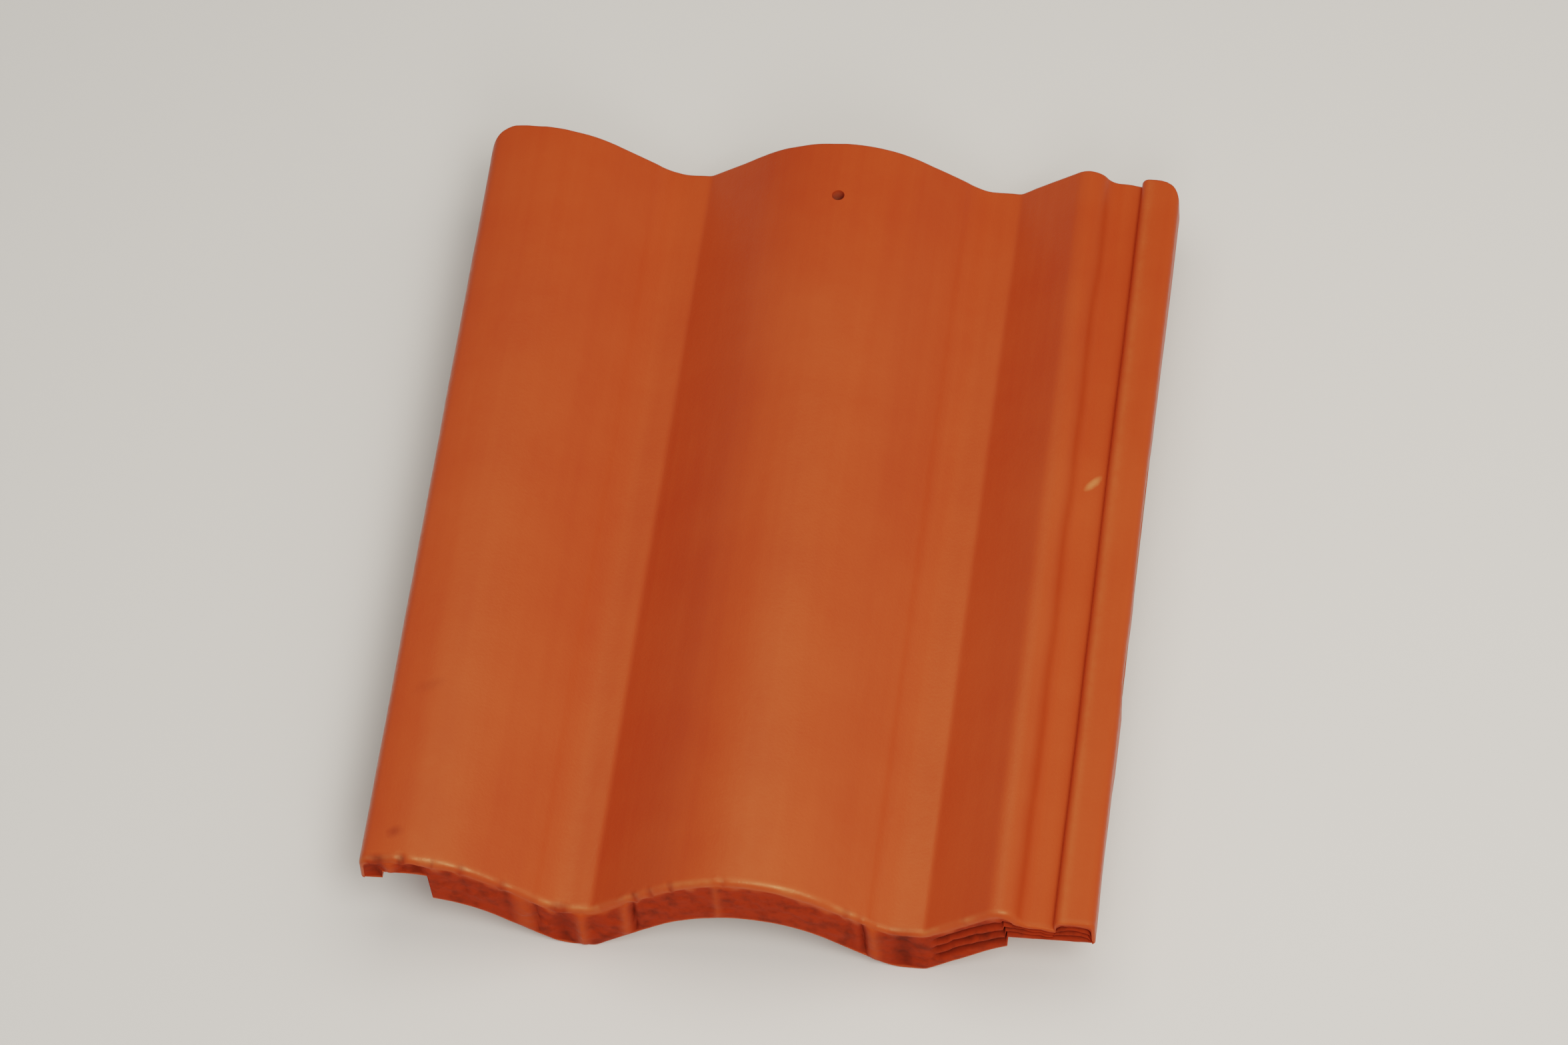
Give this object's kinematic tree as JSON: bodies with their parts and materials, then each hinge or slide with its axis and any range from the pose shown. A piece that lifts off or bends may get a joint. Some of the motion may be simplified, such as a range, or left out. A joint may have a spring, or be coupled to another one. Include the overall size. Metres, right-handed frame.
{
  "type": "concrete roof tile",
  "caption": "Interlocking double-roll concrete roof tile in a terracotta coat, with a lip along one side, a shelf and rib along the other, a thick tail, hanging nibs and a nail hole.",
  "frame": {"origin": "centre of the bounding box in plan, on the ground that the tile lies on", "axes": "+X across the tile from the overlock to the underlock, +Y up the slope from tail to head, +Z out of the weather face"},
  "size_m": [0.33, 0.42, 0.061],
  "materials": {
    "coated_concrete": "concrete with a semi-gloss terracotta acrylic coat on the weather face and edges, bare underneath"
  },
  "bodies": {
    "root": {"roof_tile": "coated_concrete"}
  },
  "joints": []
}
